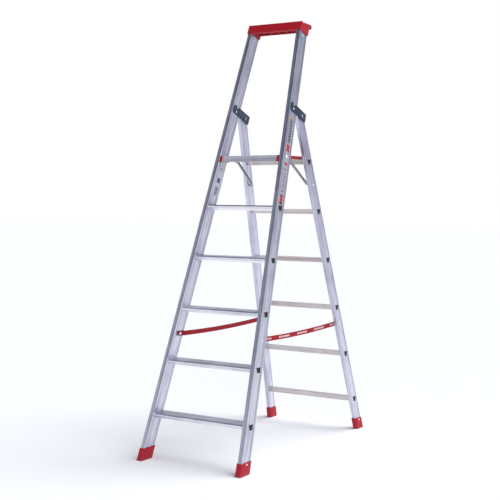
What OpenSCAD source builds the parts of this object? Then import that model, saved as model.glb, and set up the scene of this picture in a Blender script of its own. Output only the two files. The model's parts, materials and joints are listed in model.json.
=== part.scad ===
// Folding platform step ladder in aluminium: a climbing section with five treads and a folding
// platform, a rear section with six rungs, a moulded tool tray, four shoes and two webbing straps.
// Millimetres, +Z up. The climbing side faces -Y. The origin is on the floor, at the middle of the
// ladder's footprint.

/* [Climbing section] */
// Lean of the climbing section from the vertical, in degrees
front_lean = 20; // [17:0.5:22]
// Half width over the front stiles, measured on the floor
front_half = 275; // [250:1:320]
// Inward taper of the front stiles, in degrees
front_taper = 3.47; // [2.5:0.01:4]
// Length of the climbing section along its slope, to the cut tops of the stiles
front_length = 2107; // [2050:1:2550]
// Depth of a front stile, front face to rear face
front_depth = 69; // [62:1:80]
// Width of a front stile, inner face to outer face
front_width = 22.5; // [20:0.5:28]

/* [Rear section] */
// Lean of the rear section from the vertical, in degrees
rear_lean = 16.4; // [14:0.1:19]
// Inward taper of the rear stiles, in degrees
rear_taper = 3.44; // [2.5:0.01:4]
// Depth of a rear stile, front face to rear face
rear_depth = 55; // [50:1:66]
// Depth of the hinge pivot behind the front face of the rear stile
rear_pivot_depth = 39; // [30:1:44]
// Length of the rear stile above its hinge pivot
rear_top = 22; // [14:1:24]
// Slope distance between the tops of two rungs
rung_spacing = 249; // [230:1:260]

/* [Stile extrusion] */
// Wall of the stile tubes
stile_wall = 1.8; // [1.4:0.1:2.5]
// Corner radius of the stile tubes
stile_corner = 2.5; // [1:0.5:4]
// Depth of the shallow web between the two rails on the outer face
web_recess = 1; // [0.6:0.1:1.2]
// Width of the two rails beside the web of a front stile
front_rail = 11.5; // [9:0.5:12]
// Width of the two rails beside the web of a rear stile
rear_rail = 6.5; // [4:0.5:7]
// Width of the shallow groove along the narrow faces
groove_width = 8; // [4:1:12]
// Depth of the shallow groove along the narrow faces
groove_depth = 0.6; // [0.3:0.1:0.8]

/* [Treads] */
// Height of the lowest tread's top above the floor
first_rise = 206; // [180:1:230]
// Vertical distance between treads
rise = 235; // [200:1:285]
// Depth of a tread
tread_depth = 83; // [76:1:100]
// Set-back of the tread's nose behind the front plane of the stiles
nose_setback = 1.5; // [0.5:0.5:4]
// Thickness of the tread's top plate
tread_plate = 3; // [2.5:0.5:4]
// Height of the rounded front lip
nose_height = 14.3; // [10:0.1:18]
// Height of the rear lip
heel_height = 8; // [5:0.5:12]
// Height of the box tube under the tread, from the tread's top
box_height = 24.3; // [20:0.1:30]
// Width of the box tube at its top
box_top = 33; // [26:1:34]
// Width of the box tube at its bottom
box_bottom = 22; // [14:1:25]
// Wall of the box tube
box_wall = 2; // [1.5:0.1:3]
// Pitch of the grip ribs on the treads and on the platform
rib_pitch = 5; // [4:0.5:8]
// Depth of the grooves between grip ribs
rib_depth = 0.9; // [0.5:0.1:1.2]

/* [Rungs] */
// Height of a rung tube
rung_height = 23.5; // [18:0.5:28]
// Width of a rung tube at its top
rung_top = 30; // [22:1:32]
// Width of a rung tube at its bottom
rung_bottom = 12; // [7:1:16]
// Wall of a rung tube
rung_wall = 1.6; // [1.2:0.1:2.2]

/* [Swaged ends] */
// Clearance of treads and rungs in their stile holes
swage_clearance = 0.1; // [0.05:0.05:0.3]
// Width of the flared rim on the outer face of a stile
flare_width = 1.6; // [1:0.1:2.5]
// Thickness of the flared rim
flare_thickness = 0.9; // [0.5:0.1:1]
// Length of the plastic plugs inside the tube ends
plug_length = 14; // [8:1:25]
// Thickness of a plug's flange
plug_flange = 0.8; // [0.5:0.1:1.5]

/* [Platform] */
// Height of the platform's top above the floor
platform_height = 1378; // [1360:1:1390]
// Depth of the platform, front edge to rear edge
platform_depth = 250; // [236:1:253]
// Thickness of the platform board
platform_thickness = 14.5; // [12:0.5:20]
// Height of the platform's front lip
platform_lip = 29; // [24:1:34]
// Height of the two raised edges along the platform's front lip
lip_bead = 4; // [2:0.5:8]
// Skin thickness of the platform extrusion
platform_skin = 2.4; // [2:0.1:3]
// Width of the plastic end caps
cap_width = 11; // [9:0.5:14]
// Gap between the platform and the rung it rests on
rest_gap = 0.1; // [0.05:0.05:0.5]
// Clearance between an end cap and the stile
cap_clearance = 1.4; // [1.2:0.1:3]
// Depth of the pivot bolt below the platform's top
bolt_drop = 9; // [7.5:0.5:12]
// Radius of the pivot bolt
bolt_radius = 4; // [3:0.5:5]
// Radius of the pivot bolt's head
bolt_head = 8; // [6.5:0.5:9]
// Height of the pivot bolt's head
bolt_head_height = 4; // [3:0.5:5]
// Radius of the platform washers
platform_washer_radius = 9; // [7:0.5:10]
// Thickness of the platform washers
platform_washer_thickness = 0.8; // [0.5:0.1:1]
// Thickness of the platform's front lip
lip_thickness = 4; // [3:0.5:5]

/* [Hinge] */
// Slope height of the hinge pivot on the climbing section
hinge_height = 1712; // [1690:1:1730]
// Distance of the hinge pivot behind the front plane
hinge_reach = 121; // [118:1:126]
// Thickness of a hinge plate
plate_thickness = 2.5; // [2:0.1:4]
// Height of a hinge plate along the stile
plate_height = 42; // [38:1:48]
// Corner radius of a hinge plate's front end
plate_corner = 14; // [6:1:17]
// Width of the folded stiffening lip under a hinge plate
lip_width = 5; // [3:0.5:7]
// Distance between the two rivets of a hinge plate
rivet_pitch = 22; // [18:1:24]
// Radius of the hinge pivot
pivot_radius = 5; // [4:0.5:6]
// Radius of the hinge pivot's two heads
pivot_head = 8; // [6.5:0.5:9]
// Radius of the hinge washers
hinge_washer = 10; // [8:0.5:11]
// Radius of the rivets
rivet_radius = 2.4; // [2:0.1:3]
// Radius of a rivet head
rivet_head = 5.5; // [4:0.5:6]
// Radial running clearance of every moving pin
running_clearance = 0.05; // [0.02:0.01:0.09]

/* [Struts] */
// Distance of the strut's upper pivot behind the platform bolt
strut_reach = 93; // [92:0.5:98]
// Drop of the strut's upper pivot below the platform bolt
strut_drop = 15; // [14.5:0.5:17]
// Distance of the strut's upper eye inside the platform's side edge
strut_inset = 6.8; // [6.4:0.1:10]
// Slope height of the strut's lower pivot on the rear section
strut_anchor = 1286; // [1276:1:1296]
// Width of the strut channel
strut_width = 11; // [8:0.5:12]
// Depth of the strut channel's flanges
strut_flange = 7; // [5:0.5:9]
// Thickness of the strut's steel
strut_wall = 1.6; // [1.2:0.1:2]
// Radius of a strut's eyes
eye_radius = 6.5; // [5.5:0.5:6.5]
// Distance of a channel's end from its eye's centre
flange_start = 11; // [10:1:20]
// Clearance between the strut's free eye and its boss
strut_clearance = 1; // [0.8:0.1:1.5]
// Gap between the strut's upper eye and its bracket
lug_gap = 1; // [0.8:0.1:1.4]
// Thickness of the bracket's ear
ear_thickness = 2.5; // [2:0.1:3]
// Width of the bracket under the board
bracket_width = 18; // [14:1:22]
// Length of the bracket along the board
bracket_length = 24; // [20:1:30]
// Thickness of the bracket's flange
bracket_flange = 2; // [1.5:0.1:2.4]
// Radius of the spacer boss
boss_radius = 7; // [6:0.5:8]
// Length of the spacer boss that carries the strut's lower end
boss_length = 8.5; // [7:0.5:14]

/* [Tool tray] */
// Thickness of the tray's front and rear walls
tray_wall = 3; // [2.5:0.5:4]
// Overhang of the tray around the stile tops
tray_overhang = 3; // [2:0.5:5]
// Height of the tray's front wall above the front corner of the stiles
tray_front_height = 43; // [30:0.5:55]
// Height of the tray's side rim at its front end
tray_rim_height = 38.5; // [28:0.5:43]
// Height of the tray's side rim at its rear end
tray_rear_height = 35.8; // [34:0.2:40]
// Depth of the tray, from the front corner of the stiles to the hooks
tray_depth = 86; // [84:1:88]
// Distance of the hooks' centre behind the front corner of the stiles
hook_reach = 101; // [99:1:104]
// Height of the hooks' centre above the front corner of the stiles
hook_height = 24; // [22:1:25]
// Radius of the hooks
hook_radius = 11.5; // [9:0.5:12]
// Radius of the cord hole in each hook
hook_hole = 4.5; // [3:0.5:6]
// Thickness of the stiffening ribs under the tray's floor
tray_rib = 2.5; // [1.5:0.5:4]
// Length of the spigots inside the stile tops
tray_spigot = 34; // [26:1:45]
// Distance of the tray rivets below the stile tops
tray_rivet_drop = 14; // [10:1:18]

/* [Shoes] */
// Height of a shoe
shoe_height = 54; // [45:1:65]
// Wall of a shoe around its stile
shoe_wall = 3.8; // [3:0.1:5]
// Thickness of the sole under the stile
shoe_sole = 12; // [8:1:16]
// Height of the rivets that hold the shoes
shoe_rivet = 46; // [40:1:48]
// Clearance of the stile in its shoe
shoe_clearance = 0.15; // [0.1:0.05:0.4]

/* [Straps] */
// Height of the strap rivets above the floor
strap_height = 553; // [540:1:566]
// Width of the webbing
strap_width = 22; // [18:1:26]
// Thickness of the webbing
strap_thickness = 1.6; // [1.2:0.1:2.2]
// Sag of a strap at the middle of its span
strap_sag = 9; // [4:1:20]
// Length of webbing past each rivet
strap_tail = 10; // [8:1:16]
// Radius of the washer that holds the webbing
strap_washer = 7; // [6:0.5:9]
// Gap between the webbing and the inner faces of the stiles
strap_gap = 0.4; // [0.3:0.1:1]

/* [Labels] */
// Thickness of the printed labels
label_thickness = 0.25; // [0.2:0.05:0.4]
// Lower end of the long label along the stile
label_start = 1240; // [1236:1:1290]
// Length of the long label
label_length = 442; // [300:1:450]
// Length of the short label inside the left stile
short_label_length = 136; // [100:1:160]
// Lower end of the short label along the stile
short_label_start = 1286; // [1240:1:1300]

/* [Hidden] */
$fn = 48;
slip = 0.02;
big = 3000;
blind_depth = 8;
tread_count = 5;
rung_count = 6;

aluminium = [0.70, 0.71, 0.75];
rung_alloy = [0.72, 0.70, 0.69];
steel = [0.33, 0.38, 0.42];
rivet_steel = [0.80, 0.80, 0.84];
red_plastic = [0.64, 0.16, 0.19];
red_webbing = [0.60, 0.08, 0.13];
label_foil = [0.78, 0.80, 0.84];
nylon = [0.86, 0.86, 0.84];
black_plastic = [0.06, 0.06, 0.07];

// The gaps beside a rear stile in its hinge, which set the rear stile's width
outer_gap = 1.1;
inner_gap = 1.9;
washer_play = 0.5;
rear_width = front_width - outer_gap - inner_gap;

// Unit directions of the two sections in the (Y, Z) plane: along the slope, and to the rear
front_up = [sin(front_lean), cos(front_lean)];
front_back = [cos(front_lean), -sin(front_lean)];
rear_up = [-sin(rear_lean), cos(rear_lean)];
rear_back = [cos(rear_lean), sin(rear_lean)];

// Places before the footprint is centred: the front plane meets the floor at Y = 0
hinge_raw = hinge_height * front_up + hinge_reach * front_back;
rear_pivot_u = (hinge_raw[1] - rear_pivot_depth * rear_back[1]) / rear_up[1];
rear_raw = hinge_raw[0] - rear_pivot_u * rear_up[0] - rear_pivot_depth * rear_back[0];
toe = -shoe_wall / cos(front_lean);
heel = rear_raw + (rear_depth + shoe_wall) / cos(rear_lean);
front_y = -(toe + heel) / 2;
rear_y = rear_raw + front_y;
hinge_point = hinge_raw + [front_y, 0];

// Outer faces of the stiles at a slope height
rear_half = outer_front(hinge_height) - outer_gap + tan(rear_taper) * rear_pivot_u;
function outer_front(u) = front_half - tan(front_taper) * u;
function outer_rear(u) = rear_half - tan(rear_taper) * u;
function front_point(u, v) = [front_y, 0] + u * front_up + v * front_back;
function rear_point(u, v) = [rear_y, 0] + u * rear_up + v * rear_back;
function front_plane_y(z) = front_y + z * tan(front_lean);
function rear_plane_y(z) = rear_y - z * tan(rear_lean);
function slope_front(z, v) = (z + v * sin(front_lean)) / cos(front_lean);
function slope_rear(z, v) = (z - v * sin(rear_lean)) / cos(rear_lean);

// Platform bolt, in the middle of the front stile's depth
bolt_z = platform_height - bolt_drop;
bolt_u = slope_front(bolt_z, front_depth / 2);
bolt_point = front_point(bolt_u, front_depth / 2);
platform_front = front_plane_y(platform_height) + nose_setback;
platform_rear = platform_front + platform_depth;
platform_under = platform_height - platform_thickness;
strut_top_point = bolt_point + [strut_reach, -strut_drop];
strut_top_x = platform_half(strut_top_point[0]) - strut_inset;
strut_low_point = rear_point(strut_anchor, rear_depth / 2);

function tread_z(i) = first_rise + i * rise;
function tread_y(i) = front_plane_y(tread_z(i));
// The box tube sits in the middle of the stile's depth
box_y = front_depth / 2 * cos(front_lean) + front_depth / 2 * tan(front_lean) * sin(front_lean)
        - box_height / 2 * tan(front_lean);

// The top rung carries the platform, and the others step down from it
top_rung_u = slope_rear(platform_under - rest_gap - rung_height / 2, rear_depth / 2);
function rung_u(i) = top_rung_u - (rung_count - 1 - i) * rung_spacing;
function rung_point(i) = rear_point(rung_u(i), rear_depth / 2);

function arc(x, y, r, from, to, steps = 6) =
    [for (i = [0:steps]) let (a = from + (to - from) * i / steps) [x + r * cos(a), y + r * sin(a)]];
function trapezoid(y, top, height, wide, narrow, grow = 0) =
    [[y - wide / 2 - grow, top + grow], [y - narrow / 2 - grow, top - height - grow],
     [y + narrow / 2 + grow, top - height - grow], [y + wide / 2 + grow, top + grow]];

module front_frame() translate([0, front_y, 0]) rotate([-front_lean, 0, 0]) children();
module rear_frame() translate([0, rear_y, 0]) rotate([rear_lean, 0, 0]) children();
module side(s) if (s < 0) mirror([1, 0, 0]) children(); else children();
// Children on the outer face of the right front or rear stile: +X is the outward normal
module on_front(u, v) front_frame() translate([outer_front(u), v, u]) rotate([0, -front_taper, 0]) children();
module on_rear(u, v) rear_frame() translate([outer_rear(u), v, u]) rotate([0, -rear_taper, 0]) children();
// A (Y, Z) outline drawn out along X, centred or from X = 0
module along_x(length, middle = true)
    rotate([90, 0, 90]) linear_extrude(height = length, center = middle) children();
module rod_x(r, from, to) translate([from, 0, 0]) rotate([0, 90, 0]) cylinder(r = r, h = to - from);

// Everything between the outer faces of the stiles, grown or shrunk by a margin on each side
module wedge(half, taper, margin) {
    low = -400;
    high = 2600;
    edge = margin / cos(taper);
    rotate([90, 0, 0]) linear_extrude(height = big, center = true)
        polygon([[-half + tan(taper) * low - edge, low], [half - tan(taper) * low + edge, low],
                 [half - tan(taper) * high + edge, high], [-half + tan(taper) * high - edge, high]]);
}
module front_wedge(margin) front_frame() wedge(front_half, front_taper, margin);
module rear_wedge(margin) rear_frame() wedge(rear_half, rear_taper, margin);

// Cross-section of a stile: X = 0 is the outer face, Y = 0 the front face
module stile_outline(width, depth, rail) {
    r = stile_corner;
    g = groove_width / 2;
    difference() {
        polygon(concat(
            arc(-width + r, r, r, 180, 270),
            [[-width / 2 - g, 0], [-width / 2 - g + groove_depth, groove_depth],
             [-width / 2 + g - groove_depth, groove_depth], [-width / 2 + g, 0]],
            arc(-r, r, r, 270, 360),
            [[0, rail], [-web_recess, rail + web_recess],
             [-web_recess, depth - rail - web_recess], [0, depth - rail]],
            arc(-r, depth - r, r, 0, 90),
            [[-width / 2 + g, depth], [-width / 2 + g - groove_depth, depth - groove_depth],
             [-width / 2 - g + groove_depth, depth - groove_depth], [-width / 2 - g, depth]],
            arc(-width + r, depth - r, r, 90, 180)));
        translate([-width + stile_wall, stile_wall + groove_depth])
            square([width - 2 * stile_wall - web_recess, depth - 2 * stile_wall - 2 * groove_depth]);
    }
}

module floor_cut(z) translate([-big / 2, -big / 2, z - big]) cube(big);

module front_stile() {
    difference() {
        on_front(0, 0) translate([0, 0, -60]) linear_extrude(height = front_length + 120)
            stile_outline(front_width, front_depth, front_rail);
        floor_cut(shoe_sole);
        front_frame() translate([-big / 2, -big / 2, front_length]) cube(big);
        for (i = [0:tread_count - 1]) tread_hole(i);
        translate([0, bolt_point[0], bolt_point[1]]) rod_x(bolt_radius + slip, 100, 300);
        for (u = hinge_rivet_heights()) on_front(u, front_depth / 2) rod_x(rivet_radius + slip, -60, 20);
        on_front(front_length - tray_rivet_drop, front_depth / 2) rod_x(rivet_radius + slip, -60, 20);
        front_shoe_rivet_place() rod_x(rivet_radius + slip, -blind_depth, 20);
        translate([0, strap_front[0], strap_front[1]]) rod_x(rivet_radius + slip, 100, 300);
    }
}

module rear_stile() {
    difference() {
        on_rear(0, 0) translate([0, 0, -60]) linear_extrude(height = rear_pivot_u + 120)
            stile_outline(rear_width, rear_depth, rear_rail);
        floor_cut(shoe_sole);
        rear_frame() translate([-big / 2, -big / 2, rear_pivot_u + rear_top]) cube(big);
        // Front top corner cut back, so that it stays clear of the inner hinge plate
        rear_frame() translate([0, 0, rear_pivot_u]) along_x(big)
            polygon([[-1, rear_top / 2], [rear_pivot_depth - 4, rear_top + 1],
                     [rear_pivot_depth - 4, 200], [-1, 200]]);
        for (i = [0:rung_count - 1]) rung_hole(i);
        translate([0, hinge_point[0], hinge_point[1]]) rod_x(pivot_radius + running_clearance, 100, 300);
        translate([0, strut_low_point[0], strut_low_point[1]]) rod_x(rivet_radius + slip, 100, 300);
        rear_shoe_rivet_place() rod_x(rivet_radius + slip, -blind_depth, 20);
        translate([0, strap_rear[0], strap_rear[1]]) rod_x(rivet_radius + slip, 100, 300);
    }
}

// Tread outlines, with the tread's top at Z = 0 and the stiles' front plane at Y = 0
module tread_box(grow = 0) polygon(trapezoid(box_y, 0, box_height, box_top, box_bottom, grow));
module tread_bore() polygon(trapezoid(box_y, -tread_plate, box_height - tread_plate - box_wall,
                                      box_top - 2 * box_wall, box_bottom - 2 * box_wall));
module rib_grooves(from, to) {
    for (y = [from:rib_pitch:to]) translate([y, -rib_depth]) square([rib_pitch / 2, rib_depth + 1]);
}
module tread_profile() {
    n = nose_setback;
    r = nose_height / 2;
    difference() {
        union() {
            translate([n + r, -tread_plate]) square([tread_depth - r, tread_plate]);
            polygon(concat([[n + r, 0]], arc(n + r, -r, r, 90, 270, 12),
                           [[n + r, -nose_height + 2], [n + r - 1, -nose_height + 2]],
                           arc(n + r, -r, r - tread_plate, 250, 100, 10), [[n + r, -tread_plate]]));
            translate([n + tread_depth - tread_plate, -heel_height]) square([tread_plate, heel_height]);
            tread_box();
        }
        tread_bore();
        rib_grooves(n + r + 2, n + tread_depth - rib_pitch);
    }
}

module tread_place(i) translate([0, tread_y(i), tread_z(i)]) children();
module tread_hole(i) tread_place(i) along_x(big) tread_box(swage_clearance);
module tread(i) {
    intersection() {
        tread_place(i) along_x(big / 2) tread_profile();
        front_wedge(-front_width - slip);
    }
    // The box tube alone goes on through the stiles
    difference() {
        intersection() {
            tread_place(i) along_x(big / 2) difference() {
                tread_box();
                tread_bore();
            }
            front_wedge(-web_recess + flare_thickness);
        }
        front_wedge(-front_width - slip);
    }
    // Flared rims on the outer faces
    difference() {
        intersection() {
            tread_place(i) along_x(big / 2) difference() {
                tread_box(flare_width);
                tread_bore();
            }
            front_wedge(-web_recess + flare_thickness);
        }
        front_wedge(-web_recess + slip);
    }
}

// Rung outlines, with the middle of the rung at the origin
module rung_tube(grow = 0) polygon(trapezoid(0, rung_height / 2, rung_height, rung_top, rung_bottom, grow));
module rung_bore() polygon(trapezoid(0, rung_height / 2 - rung_wall, rung_height - 2 * rung_wall,
                                     rung_top - 3 * rung_wall, rung_bottom - 1.5 * rung_wall));
module rung_place(i) translate([0, rung_point(i)[0], rung_point(i)[1]]) children();
module rung_hole(i) rung_place(i) along_x(big) rung_tube(swage_clearance);
module rung(i) {
    intersection() {
        rung_place(i) along_x(big / 2) difference() {
            rung_tube();
            rung_bore();
        }
        rear_wedge(-web_recess + flare_thickness);
    }
    difference() {
        intersection() {
            rung_place(i) along_x(big / 2) difference() {
                rung_tube(flare_width);
                rung_bore();
            }
            rear_wedge(-web_recess + flare_thickness);
        }
        rear_wedge(-web_recess + slip);
    }
}

// Plastic plugs close the tube ends: a flange over the end, and a body inside the bore
plug_face = -web_recess + flare_thickness;
module tread_plug(i) {
    difference() {
        intersection() {
            tread_place(i) along_x(big / 2) tread_box();
            front_wedge(plug_face + plug_flange);
        }
        front_wedge(plug_face + slip);
    }
    intersection() {
        tread_place(i) along_x(big / 2) offset_bore(box_y, -tread_plate, box_height - tread_plate - box_wall,
                                                    box_top - 2 * box_wall, box_bottom - 2 * box_wall);
        difference() {
            front_wedge(plug_face + plug_flange / 2);
            front_wedge(plug_face - plug_length);
        }
    }
}
module rung_plug(i) {
    difference() {
        intersection() {
            rung_place(i) along_x(big / 2) rung_tube();
            rear_wedge(plug_face + plug_flange);
        }
        rear_wedge(plug_face + slip);
    }
    intersection() {
        rung_place(i) along_x(big / 2)
            offset_bore(0, rung_height / 2 - rung_wall, rung_height - 2 * rung_wall,
                                                   rung_top - 3 * rung_wall, rung_bottom - 1.5 * rung_wall);
        difference() {
            rear_wedge(plug_face + plug_flange / 2);
            rear_wedge(plug_face - plug_length);
        }
    }
}
// A bore outline less the plug's clearance all round
module offset_bore(y, top, height, wide, narrow)
    polygon(trapezoid(y, top, height, wide, narrow, -swage_clearance));

// A rivet along the outward normal: domed head outside, flat tail inside
module rivet(head_at, tail_at, head_r = rivet_head, head_h = 1.8) {
    rod_x(rivet_radius, tail_at, head_at);
    translate([head_at, 0, 0]) rotate([0, 90, 0]) cylinder(r1 = head_r, r2 = head_r * 0.55, h = head_h);
    rod_x(head_r * 0.9, tail_at - 1.4, tail_at);
}

function hinge_rivet_heights() = [hinge_height - 1, hinge_height + rivet_pitch - 1];
plate_low = hinge_height - 14;
plate_far = hinge_reach + 33;
plate_near = 5;
plate_drop = 6;

// Hinge plate outline in the front frame: X is the depth, Y the slope height
module plate_outline() {
    r = plate_corner;
    e = 4;
    high = plate_low + plate_height;
    polygon(concat(arc(plate_near + r, plate_low + r, r, 180, 265),
                   arc(plate_far - e, plate_low - plate_drop + e, e, 265, 360, 3),
                   arc(plate_far - e, high - plate_drop - e, e, 0, 85, 3),
                   arc(plate_near + r, high - r, r, 88, 180)));
}
// inset is how far the plate's outer side lies from the outer face of the stile
module hinge_plate(inset, lip_out) {
    difference() {
        on_front(hinge_height, 0) {
            translate([inset - plate_thickness, 0, -hinge_height]) rotate([90, 0, 90])
                linear_extrude(height = plate_thickness) plate_outline();
            // Folded stiffening lip along the lower edge, behind the stile
            translate([lip_out > 0 ? inset - 0.5 : inset - plate_thickness - lip_width + 0.5,
                       front_depth + 8, plate_low - plate_drop - hinge_height + 3])
                cube([lip_width, plate_far - front_depth - 16, plate_thickness]);
        }
        translate([0, hinge_point[0], hinge_point[1]]) rod_x(pivot_radius + slip, 100, 300);
        for (u = hinge_rivet_heights()) on_front(u, front_depth / 2) rod_x(rivet_radius + slip, -60, 20);
    }
}
outer_plate_inset = plate_thickness + slip;
inner_plate_inset = -front_width - slip;
module hinge_pivot() {
    translate([0, hinge_point[0], hinge_point[1]]) {
        from = outer_front(hinge_height) - front_width - plate_thickness - 0.6;
        to = outer_front(hinge_height) + plate_thickness + 0.6;
        rod_x(pivot_radius, from, to);
    }
    on_front(hinge_height, hinge_reach) {
        translate([outer_plate_inset + slip, 0, 0]) rotate([0, 90, 0])
            cylinder(r1 = pivot_head, r2 = pivot_radius, h = 3);
        rod_x(pivot_head, inner_plate_inset - plate_thickness - 2.5,
              inner_plate_inset - plate_thickness - slip);
    }
}
module hinge_washer_pair() {
    difference() {
        union() {
            on_front(hinge_height, hinge_reach) rod_x(hinge_washer, -outer_gap + washer_play, -slip);
            on_front(hinge_height, hinge_reach)
                rod_x(hinge_washer, -front_width + slip, -front_width + inner_gap - washer_play);
        }
        translate([0, hinge_point[0], hinge_point[1]]) rod_x(pivot_radius + slip, 100, 300);
    }
}

// Platform: the side faces follow the stiles when the platform is folded up between them
function platform_half(y) = outer_front(bolt_u) - front_width / cos(front_taper) - cap_clearance
                            - tan(front_taper) * (y - bolt_point[0]);
module platform_plan(margin, from, to) {
    wide = platform_half(bolt_point[0]) + margin;
    narrow = platform_half(to) + margin;
    linear_extrude(height = big, center = true)
        polygon([[-wide, from], [wide, from], [wide, bolt_point[0]], [narrow, to], [-narrow, to],
                 [-wide, bolt_point[0]]]);
}
// Board outline: the front lip follows the slope of the stiles, and the board is hollow behind it
board_start = 8;
board_cells = 5;
// A point on the front lip, a distance below the platform's top and a step behind its front face
function lip_point(down, step) = [platform_front - down * tan(front_lean) + step, platform_height - down];
module board_outline() {
    top = platform_height;
    skin = platform_skin;
    lip_y = platform_front - platform_lip * tan(front_lean);
    cell = (platform_depth - board_start - skin) / board_cells;
    difference() {
        polygon([[platform_front, top], [platform_rear, top], [platform_rear, platform_under],
                 [platform_front + board_start, platform_under], [platform_front + board_start, top - skin],
                 [platform_front + lip_thickness - skin * tan(front_lean), top - skin],
                 [lip_y + lip_thickness, top - platform_lip], [lip_y, top - platform_lip],
                 lip_point(platform_lip - lip_bead, 0), lip_point(platform_lip - lip_bead - 1, 1),
                 lip_point(lip_bead + 1, 1), lip_point(lip_bead, 0)]);
        for (i = [0:board_cells - 1])
            translate([platform_front + board_start + skin + i * cell, platform_under + skin])
                square([cell - skin, platform_thickness - 2 * skin]);
        translate([0, top]) rib_grooves(platform_front + board_start, platform_rear - rib_pitch);
    }
}
module platform_board() {
    difference() {
        intersection() {
            along_x(big / 2) board_outline();
            platform_plan(-cap_width, platform_front - 60, platform_rear + 10);
        }
        for (s = [-1, 1]) side(s) bracket_rivet_place()
            cylinder(r = rivet_radius + slip, h = platform_thickness, center = true);
    }
}
// Cap outline: a deep nose around the bolt, a plain edge, and a small foot at the rear
module cap_outline() {
    top = platform_height + 0.4;
    low = platform_height - platform_lip - 0.6;
    nose = platform_front - platform_lip * tan(front_lean);
    polygon(concat([[nose - 0.8, low], [platform_front - 0.8, top]],
                   arc(platform_rear + 1 - 3, top - 3, 3, 90, 0),
                   [[platform_rear + 1, platform_under], [bolt_point[0] + 40, platform_under],
                    [bolt_point[0] + 24, low]]));
}
module platform_cap() {
    difference() {
        intersection() {
            translate([100, 0, 0]) along_x(big / 4, false) cap_outline();
            platform_plan(0, platform_front - 60, platform_rear + 10);
        }
        platform_plan(-cap_width + slip, platform_front - 80, platform_rear + 30);
        translate([0, bolt_point[0], bolt_point[1]]) rod_x(bolt_radius + running_clearance, 100, 300);
    }
}
module platform_bolt() {
    translate([0, bolt_point[0], bolt_point[1]])
        rod_x(bolt_radius, platform_half(bolt_point[0]) - cap_width + 2, outer_front(bolt_u) - web_recess + 1);
    on_front(bolt_u, front_depth / 2) translate([-web_recess + slip, 0, 0]) rotate([0, 90, 0])
        cylinder(r1 = bolt_head, r2 = bolt_head - 2.5, h = bolt_head_height);
}
module platform_washer() {
    difference() {
        on_front(bolt_u, front_depth / 2)
            rod_x(platform_washer_radius, -front_width - slip - platform_washer_thickness, -front_width - slip);
        translate([0, bolt_point[0], bolt_point[1]]) rod_x(bolt_radius + slip, 100, 300);
    }
}

// Strut: a folded steel channel, open to the inside, between two flat eyes. It splays outwards to the
// rear stile. Its outline here is drawn along Y from the upper pivot, with the web at X = 0.
strut_span = strut_low_point - strut_top_point;
strut_length = norm(strut_span);
boss_face = outer_rear(strut_anchor) - rear_width / cos(rear_taper) - boss_length;
strut_low_x = boss_face - strut_clearance;
strut_splay = atan2(strut_low_x - strut_top_x, strut_length);
strut_true_length = norm([strut_length, strut_low_x - strut_top_x]);
module strut() {
    translate([0, strut_top_point[0], strut_top_point[1]])
        rotate([atan2(strut_span[1], strut_span[0]), 0, 0]) translate([strut_top_x, 0, 0]) difference() {
            rotate([0, 0, -strut_splay]) {
                for (y = [0, strut_true_length])
                    translate([0, y, 0]) rod_x(eye_radius, -strut_wall, 0);
                translate([-strut_wall, 0, -strut_width / 2])
                    cube([strut_wall, strut_true_length, strut_width]);
                for (z = [-strut_width / 2, strut_width / 2 - strut_wall])
                    translate([-strut_flange, flange_start, z])
                        cube([strut_flange, strut_true_length - 2 * flange_start, strut_wall]);
                // Peened head on the inside of the lower eye
                translate([-strut_wall, strut_true_length, 0]) rotate([0, -90, 0])
                    cylinder(r1 = rivet_head, r2 = rivet_head / 2, h = 2);
            }
            rod_x(rivet_radius + running_clearance, -50, 50);
        }
}
module strut_pivot_rivet() {
    translate([0, strut_top_point[0], strut_top_point[1]]) {
        rod_x(rivet_radius, strut_top_x - strut_wall - 0.4, ear_face + ear_thickness);
        rod_x(rivet_head, strut_top_x - strut_wall - 2, strut_top_x - strut_wall - 0.4);
    }
}
// Angle bracket under the board that carries the strut's upper pivot
ear_face = strut_top_x + lug_gap;
module strut_bracket() {
    low = strut_top_point[1] - eye_radius;
    difference() {
        union() {
            translate([ear_face, strut_top_point[0] - bracket_width / 2, low])
                cube([ear_thickness, bracket_width, platform_under - slip - low]);
            translate([ear_face + ear_thickness - bracket_length, strut_top_point[0] - bracket_width / 2,
                       platform_under - slip - bracket_flange])
                cube([bracket_length, bracket_width, bracket_flange]);
        }
        translate([0, strut_top_point[0], strut_top_point[1]]) rod_x(rivet_radius + slip, 100, 300);
        bracket_rivet_place() cylinder(r = rivet_radius + slip, h = 40, center = true);
    }
}
module bracket_rivet_place()
    translate([ear_face + ear_thickness - bracket_length + 7, strut_top_point[0], platform_under]) children();
module bracket_rivet() bracket_rivet_place() {
    translate([0, 0, -bracket_flange - slip])
        cylinder(r = rivet_radius, h = bracket_flange + platform_skin + 2 * slip);
    translate([0, 0, -bracket_flange - 1.6 - slip]) cylinder(r1 = 3, r2 = 4, h = 1.6);
    translate([0, 0, platform_skin + slip]) cylinder(r = 4, h = 1.2);
}
module strut_boss() {
    translate([0, strut_low_point[0], strut_low_point[1]]) difference() {
        intersection() {
            rod_x(boss_radius, boss_face, boss_face + boss_length + 10);
            translate([0, -strut_low_point[0], -strut_low_point[1]]) rear_wedge(-rear_width - slip);
        }
        rod_x(rivet_radius + slip, boss_face + 2, 300);
    }
}
module strut_anchor_rivet() {
    translate([0, strut_low_point[0], strut_low_point[1]])
        rod_x(rivet_radius, boss_face + 2 + slip, outer_rear(strut_anchor) - web_recess + 0.5);
    on_rear(slope_rear(strut_low_point[1], rear_depth / 2), rear_depth / 2)
        translate([-web_recess + slip, 0, 0]) rotate([0, 90, 0]) cylinder(r1 = 5.5, r2 = 3, h = 2.2);
}

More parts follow.
